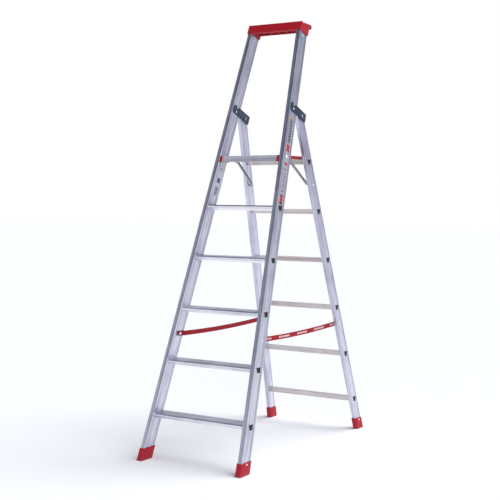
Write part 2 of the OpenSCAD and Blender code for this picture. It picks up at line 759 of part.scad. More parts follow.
// Shoes: the stile's direction, cut level at the sole and at the top
module shoe_body(width, depth) {
    r = stile_corner + shoe_wall;
    w = shoe_wall;
    polygon(concat(arc(-width - w + r, -w + r, r, 180, 270), arc(w - r, -w + r, r, 270, 360),
                   arc(w - r, depth + w - r, r, 0, 90), arc(-width - w + r, depth + w - r, r, 90, 180)));
}
module shoe_pocket(width, depth) {
    c = shoe_clearance;
    translate([-width - c, -c]) square([width + 2 * c, depth + 2 * c]);
}
module front_shoe() {
    difference() {
        on_front(0, 0) translate([0, 0, -60]) linear_extrude(height = 200) shoe_body(front_width, front_depth);
        floor_cut(0);
        translate([-big / 2, -big / 2, shoe_height]) cube(big);
        difference() {
            on_front(0, 0) translate([0, 0, -60]) linear_extrude(height = 200)
                shoe_pocket(front_width, front_depth);
            floor_cut(shoe_sole);
        }
        front_shoe_rivet_place() rod_x(rivet_radius + slip, -blind_depth, 20);
    }
}
module rear_shoe() {
    difference() {
        on_rear(0, 0) translate([0, 0, -60]) linear_extrude(height = 200) shoe_body(rear_width, rear_depth);
        floor_cut(0);
        translate([-big / 2, -big / 2, shoe_height]) cube(big);
        difference() {
            on_rear(0, 0) translate([0, 0, -60]) linear_extrude(height = 200)
                shoe_pocket(rear_width, rear_depth);
            floor_cut(shoe_sole);
        }
        rear_shoe_rivet_place() rod_x(rivet_radius + slip, -blind_depth, 20);
    }
}

// Tool tray. Its outline is measured from the front top corner of the stiles.
tray_corner = front_point(front_length, 0);
module tray_side_outline() {
    o = tray_overhang;
    cut_rear = front_point(front_length, front_depth) - tray_corner;
    translate(tray_corner)
        polygon(concat([[-o, slip], [-o + 2, 8], [12, tray_front_height - 1], [14, tray_front_height],
                        [20, tray_front_height], [22, tray_rim_height], [tray_depth, tray_rear_height],
                        [hook_reach - 9, tray_rear_height - 0.3]],
                       arc(hook_reach, hook_height, hook_radius, 75, -100, 8),
                       [[hook_reach - 9, 11], [hook_reach - 11, 14],
                        [cut_rear[0] + o + 16, 6], cut_rear + [o + 1, 2],
                        cut_rear + [o, slip], [slip, slip]]));
}
module tray_cavity_outline() {
    w = tray_wall;
    translate(tray_corner)
        polygon([[w + 3, 20], [w + 14, 60], [tray_depth - 2 - w, 60], [tray_depth - 2 - w, 14]]);
}
module tray_under_outline() {
    w = tray_wall;
    translate(tray_corner)
        polygon([[w + 2, -12], [w + 4, 16], [tray_depth - 4 - w, 10], [tray_depth - 4 - w, -60]]);
}
module tool_tray() {
    half = outer_front(front_length);
    difference() {
        intersection() {
            along_x(big / 2) tray_side_outline();
            front_wedge(tray_overhang);
            front_frame() translate([-big / 2, -big / 2, front_length + slip]) cube(big);
        }
        // Open tray on top
        along_x(2 * (half - 6)) tray_cavity_outline();
        // Hollow underside between the end blocks
        along_x(2 * (half - front_width - 3)) tray_under_outline();
        // The hooks stand at the two ends only
        translate([0, tray_corner[0] + 90 + 20, tray_corner[1] + 20])
            cube([2 * (half - 12), 40, 60], center = true);
        // Bucket slots in the hooks
        for (s = [-1, 1]) side(s)
            translate([0, tray_corner[0] + hook_reach, tray_corner[1] + hook_height])
                rod_x(hook_hole, half - 20, half + 20);
    }
    // Stiffening ribs under the floor
    for (i = [-2:2]) intersection() {
        translate([i * (half - front_width) / 3, 0, 0]) along_x(tray_rib) tray_side_outline();
        along_x(big / 2) tray_under_outline();
        translate([0, 0, tray_corner[1] + 2]) translate([-big / 2, -big / 2, 0]) cube(big);
    }
    // Spigots inside the stile tops
    for (s = [-1, 1]) side(s) difference() {
        intersection() {
            on_front(front_length, 0) translate([-front_width + stile_wall + shoe_clearance,
                                                 stile_wall + groove_depth + shoe_clearance, -tray_spigot])
                cube([front_width - 2 * stile_wall - web_recess - 2 * shoe_clearance,
                      front_depth - 2 * stile_wall - 2 * groove_depth - 2 * shoe_clearance, tray_spigot + 12]);
            front_frame() translate([-big / 2, -big / 2, front_length + 4 - big]) cube(big);
        }
        on_front(front_length - tray_rivet_drop, front_depth / 2) rod_x(rivet_radius + slip, -60, 20);
    }
}

// Straps: flat webbing with its width upright, hung between the inner faces of the stiles
strap_front = [front_plane_y(strap_height) + front_depth / 2 / cos(front_lean), strap_height];
strap_rear = [rear_plane_y(strap_height) + rear_depth / 2 / cos(rear_lean), strap_height];
strap_x = min(outer_front(slope_front(strap_height + strap_width / 2, 0)) - front_width / cos(front_taper),
              outer_rear(slope_rear(strap_height + strap_width / 2, 0)) - rear_width / cos(rear_taper))
          - strap_gap - strap_thickness - 2;
function sag(t) = -4 * strap_sag * t * (1 - t);
module strap() {
    steps = 24;
    span = strap_rear[0] - strap_front[0];
    path = concat([[-strap_tail, 0]],
                  [for (i = [0:steps]) [span * i / steps, sag(i / steps)]], [[span + strap_tail, 0]]);
    translate([strap_x, strap_front[0], strap_height]) difference() {
        along_x(strap_thickness, false)
            polygon(concat([for (p = path) p + [0, strap_width / 2]],
                           [for (i = [len(path) - 1:-1:0]) path[i] - [0, strap_width / 2]]));
        for (y = [0, span]) translate([0, y, 0]) rod_x(rivet_radius + slip, -2, strap_thickness + 2);
    }
}
module strap_rivet_front() {
    translate([0, strap_front[0], strap_front[1]])
        strap_pin(outer_front(slope_front(strap_height, front_depth / 2)));
    on_front(slope_front(strap_height, front_depth / 2), front_depth / 2) strap_head();
}
module strap_rivet_rear() {
    translate([0, strap_rear[0], strap_rear[1]])
        strap_pin(outer_rear(slope_rear(strap_height, rear_depth / 2)));
    on_rear(slope_rear(strap_height, rear_depth / 2), rear_depth / 2) strap_head();
}
module strap_pin(face) {
    rod_x(rivet_radius, strap_x - 2, face - web_recess + 0.5);
    rod_x(strap_washer, strap_x - 1 - 0.2, strap_x - 0.2);
    translate([strap_x - 1, 0, 0]) rotate([0, -90, 0]) cylinder(r1 = 4.5, r2 = 2.5, h = 2);
}
module strap_head() translate([-web_recess + slip, 0, 0]) rotate([0, 90, 0])
    cylinder(r1 = 4, r2 = 2.2, h = 1.4);

module stile_label_long() {
    difference() {
        on_front(0, 0) translate([-web_recess + slip, front_rail + web_recess + 1, label_start])
            cube([label_thickness, front_depth - 2 * front_rail - 2 * web_recess - 2, label_length]);
        for (u = hinge_rivet_heights()) on_front(u, front_depth / 2) rod_x(rivet_radius + 0.5, -60, 20);
        on_front(bolt_u, front_depth / 2) rod_x(8.5, -60, 20);
    }
}
module stile_label_short() {
    side(-1) on_front(0, 0) translate([-front_width - label_thickness - slip, 14, short_label_start])
        cube([label_thickness, front_depth - 26, short_label_length]);
}

module front_shoe_rivet_place()
    on_front(slope_front(shoe_rivet, front_depth / 2), front_depth / 2) children();
module rear_shoe_rivet_place() on_rear(slope_rear(shoe_rivet, rear_depth / 2), rear_depth / 2) children();
module front_shoe_rivet() front_shoe_rivet_place()
    rivet(shoe_wall + slip, -web_recess - stile_wall - slip);
module rear_shoe_rivet() rear_shoe_rivet_place()
    rivet(shoe_wall + slip, -web_recess - stile_wall - slip);
module tray_rivet() on_front(front_length - tray_rivet_drop, front_depth / 2)
    rivet(-web_recess + slip, -front_width - slip);
module hinge_rivet_pair() for (u = hinge_rivet_heights()) on_front(u, front_depth / 2)
    rivet(outer_plate_inset + slip, inner_plate_inset - plate_thickness - slip);

module both_sides() for (s = [-1, 1]) side(s) children();

color(aluminium) side(-1) front_stile();  // front_stile_left
color(aluminium) front_stile();  // front_stile_right
color(aluminium) tread(0);  // tread_1
color(aluminium) tread(1);  // tread_2
color(aluminium) tread(2);  // tread_3
color(aluminium) tread(3);  // tread_4
color(aluminium) tread(4);  // tread_5
color(black_plastic) for (i = [0:tread_count - 1]) tread_plug(i);  // tread_plugs
color(red_plastic) tool_tray();
color(rivet_steel) both_sides() tray_rivet();  // tray_rivets
color(steel) side(-1) hinge_plate(outer_plate_inset, 1);  // hinge_plate_outer_left
color(steel) side(-1) hinge_plate(inner_plate_inset, -1);  // hinge_plate_inner_left
color(steel) hinge_plate(outer_plate_inset, 1);  // hinge_plate_outer_right
color(steel) hinge_plate(inner_plate_inset, -1);  // hinge_plate_inner_right
color(rivet_steel) both_sides() hinge_rivet_pair();  // hinge_plate_rivets
color(steel) side(-1) hinge_pivot();  // hinge_pivot_left
color(steel) hinge_pivot();  // hinge_pivot_right
color(nylon) both_sides() hinge_washer_pair();  // hinge_washers
color(rivet_steel) side(-1) platform_bolt();  // platform_bolt_left
color(rivet_steel) platform_bolt();  // platform_bolt_right
color(nylon) both_sides() platform_washer();  // platform_washers
color(red_plastic) side(-1) front_shoe();  // front_shoe_left
color(red_plastic) front_shoe();  // front_shoe_right
color(rivet_steel) both_sides() front_shoe_rivet();  // front_shoe_rivets
color(rivet_steel) both_sides() strap_rivet_front();  // strap_rivets_front
color(red_webbing) side(-1) strap();  // strap_left
color(red_webbing) strap();  // strap_right
color(label_foil) stile_label_long();
color(label_foil) stile_label_short();
color(aluminium) side(-1) rear_stile();  // rear_stile_left
color(aluminium) rear_stile();  // rear_stile_right
color(rung_alloy) rung(0);  // rear_rung_1
color(rung_alloy) rung(1);  // rear_rung_2
color(rung_alloy) rung(2);  // rear_rung_3
color(rung_alloy) rung(3);  // rear_rung_4
color(rung_alloy) rung(4);  // rear_rung_5
color(rung_alloy) rung(5);  // rear_rung_6
color(black_plastic) for (i = [0:rung_count - 1]) rung_plug(i);  // rung_plugs
color(red_plastic) side(-1) rear_shoe();  // rear_shoe_left
color(red_plastic) rear_shoe();  // rear_shoe_right
color(rivet_steel) both_sides() rear_shoe_rivet();  // rear_shoe_rivets
color(rivet_steel) both_sides() strap_rivet_rear();  // strap_rivets_rear
color(rivet_steel) both_sides() strut_anchor_rivet();  // strut_anchor_rivets
color(steel) both_sides() strut_boss();  // strut_bosses
color(aluminium) platform_board();
color(red_plastic) side(-1) platform_cap();  // platform_cap_left
color(red_plastic) platform_cap();  // platform_cap_right
color(steel) both_sides() strut_bracket();  // strut_brackets
color(rivet_steel) both_sides() bracket_rivet();  // bracket_rivets
color(rivet_steel) both_sides() strut_pivot_rivet();  // strut_pivot_rivets
color(steel) side(-1) strut();  // strut_left
color(steel) strut();  // strut_right
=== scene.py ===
import json
import math

import bmesh
import bpy
from mathutils import Matrix, Vector


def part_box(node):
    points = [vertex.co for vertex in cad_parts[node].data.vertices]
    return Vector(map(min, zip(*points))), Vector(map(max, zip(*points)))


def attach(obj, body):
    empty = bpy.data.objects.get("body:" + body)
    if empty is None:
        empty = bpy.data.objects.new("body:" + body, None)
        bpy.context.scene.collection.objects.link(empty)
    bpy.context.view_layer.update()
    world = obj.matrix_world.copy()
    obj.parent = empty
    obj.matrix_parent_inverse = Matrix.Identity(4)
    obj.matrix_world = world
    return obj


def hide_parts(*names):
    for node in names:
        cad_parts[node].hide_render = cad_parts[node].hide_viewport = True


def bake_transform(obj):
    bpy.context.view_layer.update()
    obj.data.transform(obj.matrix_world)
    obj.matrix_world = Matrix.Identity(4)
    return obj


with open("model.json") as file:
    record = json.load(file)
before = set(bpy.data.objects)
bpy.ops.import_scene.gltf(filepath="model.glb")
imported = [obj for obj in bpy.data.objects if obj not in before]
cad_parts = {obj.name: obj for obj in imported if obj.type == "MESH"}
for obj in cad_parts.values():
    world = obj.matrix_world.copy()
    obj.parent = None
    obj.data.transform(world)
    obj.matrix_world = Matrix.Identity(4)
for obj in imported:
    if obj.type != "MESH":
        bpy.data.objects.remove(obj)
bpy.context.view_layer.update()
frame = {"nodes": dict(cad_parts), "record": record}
nodes = frame["nodes"]

MM = 0.001

# The two sections lean towards each other, in degrees. The foot is where each section's outer plane meets the floor,
# in metres. Depth is a stile's, and rail is the width of the raised strip along its edge, in mm.
FRONT_LEAN, FRONT_FOOT = 20.0, -0.58857
REAR_LEAN, REAR_FOOT = 16.4, 0.53132
FRONT_DEPTH, FRONT_RAIL = 69.0, 11.5
REAR_DEPTH, REAR_RAIL = 55.0, 6.5

# Webbing strap: where its rivets are (Y, Z), how far it sags and turns, its width and thickness, how thick its edge is
# against the middle, and how far its ends reach past the rivets
STRAP_FRONT, STRAP_REAR = (-0.35058, 0.553), (0.39723, 0.553)
STRAP_SAG, STRAP_TURN = 9 * MM, math.radians(7)
STRAP_WIDE, STRAP_THICK, STRAP_EDGE, STRAP_TAIL = 22 * MM, 1.5 * MM, 0.55, 10 * MM
STRAP_ROWS, STRAP_RIBS = 72, 8

# Printed strips: where each starts and ends along the slope of its stile
LONG_START, LONG_END = 1.240, 1.682
SHORT_START, SHORT_END = 1.286, 1.422

# Corners sharper than these stay sharp when a piece is shaded, and corners sharper than the last one are rounded
CAD_SHARP, ROUNDED_SHARP, CLOTH_SHARP, ROUNDED_FROM = (math.radians(v) for v in (30, 35, 50, 28))
# Faces that turn less than this are one flat face, and points nearer than this are one point
FLAT, SAME_POINT = math.radians(0.5), 1e-6

# Scales of the patterns: at scale 1 a noise or cell pattern has features 1000 mm across, and a wave repeats every
# 314 mm
NOISE_MM, WAVE_MM = 1000, 314

# Camera: where it stands, where it looks, how far it is rolled, and its lens
CAMERA_PLACE = Vector((2.6892, -4.3451, 1.2060))
CAMERA_LOOK = Vector((-0.53237, 0.84480, -0.05383))
CAMERA_ROLL = 0.157
CAMERA_LENS = 77.08
FLOOR_HALF = 30

# Inks and masks of the printed strips. Clear lets nothing through, and full lets everything through.
DARK, RED, AMBER, BLUE, GREY, CLEAR, FULL = ("#1B1B22", "#B41E2A", "#C08A34", "#4A5F9E", "#7C808E", "#000000",
                                           "#FFFFFF")
# Settings of a node that mixes two colours: one by a factor, the other by multiplying them in full
BLEND = {"data_type": "RGBA"}
TIMES = {"data_type": "RGBA", "blend_type": "MULTIPLY", "Factor": 1.0}
FIRST, SECOND = 6, 7


def colour(hex_value):
    """A linear RGBA colour from an sRGB hex value."""
    channels = [int(hex_value[i:i + 2], 16) / 255 for i in (1, 3, 5)]
    linear = [c / 12.92 if c <= 0.04045 else ((c + 0.055) / 1.055) ** 2.4 for c in channels]
    return (*linear, 1.0)


def add(owner, kind, settings=None, links=None):
    """Adds a node of that kind. settings fill its properties, its colour band and its sockets, and a hex value is a
    colour. links join its sockets to (earlier node, output) pairs."""
    tree = owner.node_tree
    node = tree.nodes.new(kind)
    band = getattr(node, "color_ramp", None)
    for key, value in (settings or {}).items():
        if key == "stops":
            while len(band.elements) > 1:
                band.elements.remove(band.elements[0])
            band.elements[0].position, band.elements[0].color = value[0][0], colour(value[0][1])
            for place, shade in value[1:]:
                band.elements.new(place).color = colour(shade)
        elif isinstance(key, str) and hasattr(node, key):
            setattr(node, key, value)
        elif isinstance(key, str) and hasattr(band, key):
            setattr(band, key, value)
        else:
            node.inputs[key].default_value = colour(value) if isinstance(value, str) else value
    for key, (other, socket) in (links or {}).items():
        tree.links.new(other.outputs[socket], node.inputs[key])
    return node


def new_material(name):
    """A material with an empty node tree."""
    material = bpy.data.materials.new(name)
    material.use_nodes = True
    material.node_tree.nodes.clear()
    return material


# Extruded aluminium, mill finish: dull grey metal with die lines along the extrusion, painted shade in darker lines
# where the rails step down to the web and along both edges of each face, and soft handling smudges. Die lines are
# about 1 mm apart, and are drawn 4 mm apart to show.
def extruded(name, base, dull, roughness, lean, foot, depth=None, rail=None, across=False, groove_mm=None):
    die_line_mm, band_mm, smudge_mm, step_shade_mm = 4, 14.286, 142.86, 1.6
    material = new_material(name)
    place = add(material, "ShaderNodeTexCoord")
    turn = math.radians(lean)
    section = add(material, "ShaderNodeMapping",
                  {"Location": (0, -foot * math.cos(turn), -foot * math.sin(turn)), "Rotation": (turn, 0, 0)},
                  {"Vector": (place, "Object")})
    drawn = add(material, "ShaderNodeMapping", {"Scale": (0.01, 1, 1) if across else (1, 1, 0.01)},
                {"Vector": (section, "Vector")})
    die_lines = add(material, "ShaderNodeTexNoise", {"Scale": NOISE_MM / die_line_mm, "Detail": 4.0, "Roughness": 0.6},
                    {"Vector": (drawn, "Vector")})
    bands = add(material, "ShaderNodeTexNoise", {"Scale": NOISE_MM / band_mm, "Detail": 2.0},
                {"Vector": (drawn, "Vector")})
    smudge = add(material, "ShaderNodeTexNoise", {"Scale": NOISE_MM / smudge_mm, "Detail": 5.0, "Roughness": 0.65},
                 {"Vector": (place, "Object")})
    banded = add(material, "ShaderNodeValToRGB", {"stops": [(0.30, dull), (0.52, base), (0.62, base), (0.78, dull)]},
                 {"Fac": (bands, "Fac")})
    worn = add(material, "ShaderNodeValToRGB", {"stops": [(0.30, "#E6E6EA"), (0.55, "#FFFFFF")]},
               {"Fac": (smudge, "Fac")})
    skin = add(material, "ShaderNodeMix", TIMES, {FIRST: (banded, "Color"), SECOND: (worn, "Color")})
    if depth:
        axes = add(material, "ShaderNodeSeparateXYZ", {}, {0: (section, "Vector")})
        across_face = add(material, "ShaderNodeMapRange", {"From Max": depth * MM}, {"Value": (axes, "Y")})
        low, high, line = rail / depth, 1 - rail / depth, step_shade_mm / depth
        # Painted shade: darker lines where the rails step down to the web, and darker along both edges of the face
        steps = add(material, "ShaderNodeValToRGB",
                    {"stops": [(0.0, "#E4E4E8"), (0.03, "#FFFFFF"), (low - line, "#F4F4F6"), (low, "#9FA0AC"),
                               (low + line, "#F8F8FA"), (0.5, "#FFFFFF"), (high - line, "#F2F2F6"),
                               (high, "#94959F"), (high + line, "#F0F0F4"), (0.97, "#F4F4F6"), (1.0, "#D4D4DA")]},
                    {"Fac": (across_face, "Result")})
        skin = add(material, "ShaderNodeMix", TIMES, {FIRST: (skin, "Result"), SECOND: (steps, "Color")})
    drawn_rough = add(material, "ShaderNodeMapRange", {"To Min": roughness - 0.08, "To Max": roughness + 0.10},
                      {"Value": (die_lines, "Fac")})
    rough = add(material, "ShaderNodeMath", {"operation": "MULTIPLY_ADD", 1: 0.12},
                {0: (smudge, "Fac"), 2: (drawn_rough, "Result")})
    bump = add(material, "ShaderNodeBump", {"Strength": 0.25, "Distance": 0.2 * MM}, {"Height": (die_lines, "Fac")})
    if groove_mm:
        # Rounded grooves run level along the lip
        grooves = add(material, "ShaderNodeTexWave", {"Scale": WAVE_MM / groove_mm, "bands_direction": "Z"},
                      {"Vector": (place, "Object")})
        bump = add(material, "ShaderNodeBump", {"Strength": 0.6, "Distance": 0.8 * MM},
                   {"Height": (grooves, "Fac"), "Normal": (bump, "Normal")})
    shader = add(material, "ShaderNodeBsdfPrincipled", {"Metallic": 1.0},
                 {"Base Color": (skin, "Result"), "Roughness": (rough, "Value"), "Normal": (bump, "Normal")})
    add(material, "ShaderNodeOutputMaterial", {}, {"Surface": (shader, "BSDF")})
    return material


# Zinc-plated pressed steel: cool grey with a faint crystal spangle a few millimetres across and fine rolling lines
def zinc_plated(name, base, dull, roughness, spangle_mm):
    haze_mm = 16.667
    material = new_material(name)
    place = add(material, "ShaderNodeTexCoord")
    crystals = add(material, "ShaderNodeTexVoronoi", {"Scale": NOISE_MM / spangle_mm}, {"Vector": (place, "Object")})
    haze = add(material, "ShaderNodeTexNoise", {"Scale": NOISE_MM / haze_mm, "Detail": 4.0},
               {"Vector": (place, "Object")})
    cells = add(material, "ShaderNodeSeparateColor", {}, {"Color": (crystals, "Color")})
    skin = add(material, "ShaderNodeMix", BLEND | {FIRST: base, SECOND: dull}, {"Factor": (cells, "Red")})
    rough = add(material, "ShaderNodeMapRange", {"To Min": roughness - 0.1, "To Max": roughness + 0.12},
                {"Value": (haze, "Fac")})
    bump = add(material, "ShaderNodeBump", {"Strength": 0.08, "Distance": 0.2 * MM}, {"Height": (haze, "Fac")})
    shader = add(material, "ShaderNodeBsdfPrincipled", {"Metallic": 1.0},
                 {"Base Color": (skin, "Result"), "Roughness": (rough, "Result"), "Normal": (bump, "Normal")})
    add(material, "ShaderNodeOutputMaterial", {}, {"Surface": (shader, "BSDF")})
    return material


# Injection-moulded plastic: saturated colour with a fine spark-eroded grain, slight flow marks, and grey scuffs on
# the parts that touch the floor
def moulded(name, base, flow, roughness, grain_mm, scuff=None):
    flow_mm, scuff_mm, ridge_mm = 62.5, 7.692, 6.978
    material = new_material(name)
    place = add(material, "ShaderNodeTexCoord")
    grain = add(material, "ShaderNodeTexNoise", {"Scale": NOISE_MM / grain_mm, "Detail": 2.0},
                {"Vector": (place, "Object")})
    patch = add(material, "ShaderNodeTexNoise", {"Scale": NOISE_MM / flow_mm, "Detail": 4.0},
                {"Vector": (place, "Object")})
    skin = add(material, "ShaderNodeMix", BLEND | {FIRST: base, SECOND: flow}, {"Factor": (patch, "Fac")})
    rough = add(material, "ShaderNodeMapRange", {"To Min": roughness - 0.05, "To Max": roughness + 0.1},
                {"Value": (patch, "Fac")})
    bump = add(material, "ShaderNodeBump", {"Strength": 0.12, "Distance": 0.2 * MM}, {"Height": (grain, "Fac")})
    if scuff:
        height = add(material, "ShaderNodeSeparateXYZ", {}, {0: (place, "Object")})
        low = add(material, "ShaderNodeMapRange",
                  {"From Min": 0.0, "From Max": 14 * MM, "To Min": 0.75, "To Max": 0.0}, {"Value": (height, "Z")})
        marks = add(material, "ShaderNodeTexNoise", {"Scale": NOISE_MM / scuff_mm, "Detail": 5.0, "Roughness": 0.7},
                    {"Vector": (place, "Object")})
        worn = add(material, "ShaderNodeMath", {"operation": "MULTIPLY"}, {0: (low, "Result"), 1: (marks, "Fac")})
        skin = add(material, "ShaderNodeMix", BLEND | {SECOND: scuff}, {FIRST: (skin, "Result"),
                                                                        "Factor": (worn, "Value")})
        # Grip ridges run level around the shoe
        ridges = add(material, "ShaderNodeTexWave", {"Scale": WAVE_MM / ridge_mm, "bands_direction": "Z"},
                     {"Vector": (place, "Object")})
        bump = add(material, "ShaderNodeBump", {"Strength": 0.35, "Distance": 0.6 * MM},
                   {"Height": (ridges, "Fac"), "Normal": (bump, "Normal")})
    shader = add(material, "ShaderNodeBsdfPrincipled", {"IOR": 1.49, "Specular IOR Level": 0.35},
                 {"Base Color": (skin, "Result"), "Roughness": (rough, "Result"), "Normal": (bump, "Normal")})
    add(material, "ShaderNodeOutputMaterial", {}, {"Surface": (shader, "BSDF")})
    return material


# Woven polyester webbing: matt deep red with a raised herringbone of threads and darker lines beside each edge.
# Threads are about 0.8 mm apart, and are drawn 2 mm apart to show. One side carries pale woven bars.
def woven(name, thread, gap, mark):
    thread_mm, stroke_mm, word_mm = 2, 10.467, 165.26
    material = new_material(name)
    cloth = add(material, "ShaderNodeUVMap", {"uv_map": "webbing"})
    one_way = {"Scale": WAVE_MM / thread_mm, "Distortion": 0.6, "Detail": 1.0}
    weft = add(material, "ShaderNodeTexWave", one_way, {"Vector": (cloth, "UV")})
    warp = add(material, "ShaderNodeTexWave", one_way | {"bands_direction": "Y"}, {"Vector": (cloth, "UV")})
    threads = add(material, "ShaderNodeMath", {"operation": "MULTIPLY"}, {0: (weft, "Fac"), 1: (warp, "Fac")})
    bare = add(material, "ShaderNodeMix", BLEND | {FIRST: gap, SECOND: thread}, {"Factor": (threads, "Value")})
    axes = add(material, "ShaderNodeSeparateXYZ", {}, {0: (cloth, "UV")})
    in_side = add(material, "ShaderNodeMath", {"operation": "FRACT"}, {0: (axes, "Y")})
    width = add(material, "ShaderNodeMapRange", {"From Max": STRAP_WIDE}, {"Value": (in_side, "Value")})
    edges = add(material, "ShaderNodeValToRGB",
                {"stops": [(0.0, "#C9C9C9"), (0.1, "#FFFFFF"), (0.44, "#FFFFFF"), (0.5, "#B8B8B8"),
                           (0.56, "#FFFFFF"), (0.9, "#FFFFFF"), (1.0, "#C9C9C9")]}, {"Fac": (width, "Result")})
    lined = add(material, "ShaderNodeMix", TIMES, {FIRST: (bare, "Result"), SECOND: (edges, "Color")})
    # Bars stand in the middle of the printed side, which lies one metre along in the cloth's own map
    marked_side = add(material, "ShaderNodeMapRange", {"From Min": 1.0, "From Max": 1.0 + STRAP_WIDE},
                      {"Value": (axes, "Y")})
    middle = add(material, "ShaderNodeValToRGB",
                 {"stops": [(0.0, CLEAR), (0.30, FULL), (0.68, CLEAR)], "interpolation": "CONSTANT"},
                 {"Fac": (marked_side, "Result")})
    strokes = add(material, "ShaderNodeTexWave", {"Scale": WAVE_MM / stroke_mm, "Distortion": 1.5, "Detail": 2.0,
                                                  "Detail Scale": 2.0}, {"Vector": (cloth, "UV")})
    words = add(material, "ShaderNodeTexWave", {"Scale": WAVE_MM / word_mm}, {"Vector": (cloth, "UV")})
    in_stroke = add(material, "ShaderNodeValToRGB",
                    {"stops": [(0.0, CLEAR), (0.5, FULL)], "interpolation": "CONSTANT"}, {"Fac": (strokes, "Fac")})
    in_word = add(material, "ShaderNodeValToRGB",
                  {"stops": [(0.0, CLEAR), (0.35, FULL)], "interpolation": "CONSTANT"}, {"Fac": (words, "Fac")})
    grouped = add(material, "ShaderNodeMath", {"operation": "MULTIPLY"},
                  {0: (in_stroke, "Color"), 1: (in_word, "Color")})
    bars = add(material, "ShaderNodeMath", {"operation": "MULTIPLY"}, {0: (grouped, "Value"), 1: (middle, "Color")})
    skin = add(material, "ShaderNodeMix", BLEND | {SECOND: mark}, {FIRST: (lined, "Result"),
                                                                   "Factor": (bars, "Value")})
    bump = add(material, "ShaderNodeBump", {"Strength": 0.5, "Distance": 0.4 * MM}, {"Height": (threads, "Value")})
    shader = add(material, "ShaderNodeBsdfPrincipled",
                 {"Roughness": 0.85, "IOR": 1.5, "Specular IOR Level": 0.2, "Sheen Weight": 0.15,
                  "Sheen Roughness": 0.4}, {"Base Color": (skin, "Result"), "Normal": (bump, "Normal")})
    add(material, "ShaderNodeOutputMaterial", {}, {"Surface": (shader, "BSDF")})
    return material


# Screen print on the bare aluminium of a stile: ink bars of the given colours along the slope, crossed by slanted gaps
# that stand for small print. Ink is matt, and the metal between the bars stays bare.
def printed(name, start, end, inks, solids, where, low, high, stroke_mm):
    haze_mm, slant = 16.667, math.radians(-28)
    material = new_material(name)
    place = add(material, "ShaderNodeTexCoord")
    turn = math.radians(FRONT_LEAN)
    section = add(material, "ShaderNodeMapping",
                  {"Location": (0, -FRONT_FOOT * math.cos(turn), -FRONT_FOOT * math.sin(turn)),
                   "Rotation": (turn, 0, 0)}, {"Vector": (place, "Object")})
    axes = add(material, "ShaderNodeSeparateXYZ", {}, {0: (section, "Vector")})
    along = add(material, "ShaderNodeMapRange", {"From Min": start, "From Max": end}, {"Value": (axes, "Z")})
    across = add(material, "ShaderNodeMapRange", {"From Max": FRONT_DEPTH * MM}, {"Value": (axes, "Y")})
    ink = add(material, "ShaderNodeValToRGB", {"stops": inks, "interpolation": "CONSTANT"},
              {"Fac": (along, "Result")})
    solid = add(material, "ShaderNodeValToRGB", {"stops": solids, "interpolation": "CONSTANT"},
                {"Fac": (along, "Result")})
    width = add(material, "ShaderNodeValToRGB",
                {"stops": [(0.0, CLEAR), (low, FULL), (high, CLEAR)], "interpolation": "CONSTANT"},
                {"Fac": (across, "Result")})
    slanted = add(material, "ShaderNodeMapping", {"Rotation": (slant, 0, 0)}, {"Vector": (section, "Vector")})
    strokes = add(material, "ShaderNodeTexWave",
                  {"Scale": WAVE_MM / stroke_mm, "Distortion": 3.0, "Detail": 2.0, "Detail Scale": 2.0,
                   "bands_direction": "Z"}, {"Vector": (slanted, "Vector")})
    in_stroke = add(material, "ShaderNodeValToRGB",
                    {"stops": [(0.0, CLEAR), (0.36, FULL)], "interpolation": "CONSTANT"}, {"Fac": (strokes, "Fac")})
    printed_here = add(material, "ShaderNodeValToRGB", {"stops": where, "interpolation": "CONSTANT"},
                       {"Fac": (along, "Result")})
    either = add(material, "ShaderNodeMath", {"operation": "MAXIMUM"}, {0: (in_stroke, "Color"), 1: (solid, "Color")})
    inked = add(material, "ShaderNodeMath", {"operation": "MULTIPLY"}, {0: (either, "Value"), 1: (width, "Color")})
    present = add(material, "ShaderNodeMath", {"operation": "MULTIPLY"},
                  {0: (inked, "Value"), 1: (printed_here, "Color")})
    haze = add(material, "ShaderNodeTexNoise", {"Scale": NOISE_MM / haze_mm, "Detail": 3.0},
               {"Vector": (place, "Object")})
    bare = add(material, "ShaderNodeMix", BLEND | {FIRST: "#DCDCE6", SECOND: "#CFCFDA"}, {"Factor": (haze, "Fac")})
    skin = add(material, "ShaderNodeMix", BLEND,
               {FIRST: (bare, "Result"), SECOND: (ink, "Color"), "Factor": (present, "Value")})
    metal = add(material, "ShaderNodeMath", {"operation": "SUBTRACT", 0: 1.0}, {1: (present, "Value")})
    shader = add(material, "ShaderNodeBsdfPrincipled", {"Roughness": 0.4},
                 {"Base Color": (skin, "Result"), "Metallic": (metal, "Value")})
    add(material, "ShaderNodeOutputMaterial", {}, {"Surface": (shader, "BSDF")})
    return material


front_alloy = extruded("extruded_aluminium_front_stiles", "#DCDCE6", "#BFC0CC", 0.26, FRONT_LEAN, FRONT_FOOT,
                       FRONT_DEPTH, FRONT_RAIL)
rear_alloy = extruded("extruded_aluminium_rear_stiles", "#E6E5F3", "#CBCBD9", 0.26, -REAR_LEAN, REAR_FOOT,
                      REAR_DEPTH, REAR_RAIL)
# Painted sheen: the treads' aluminium is paler than the stiles' so that their tops read as brightly lit
brightened_tread_alloy = extruded("extruded_aluminium_treads", "#F0F0F6", "#DADBE4", 0.24, 0, 0, across=True)
platform_alloy = extruded("extruded_aluminium_platform", "#E6E6EE", "#CFD0DA", 0.30, 0, 0, across=True,
                          groove_mm=3.2)
rung_alloy = extruded("extruded_aluminium_rungs", "#DAD3D0", "#B9B0AD", 0.30, 0, 0, across=True)
plate_steel = zinc_plated("zinc_plated_hinge_plates", "#5F6B7A", "#424E5C", 0.38, 5)
strut_steel = zinc_plated("zinc_plated_struts", "#B2B6B8", "#90959A", 0.34, 4)
rivet_steel = zinc_plated("zinc_plated_rivets", "#FAFAFC", "#E4E6EA", 0.26, 2)
red_plastic = moulded("moulded_red_polypropylene", "#B01423", "#9B101D", 0.42, 0.9)
shoe_plastic = moulded("moulded_red_shoe_rubber", "#B2172A", "#9C1122", 0.5, 0.9, "#6E4A48")
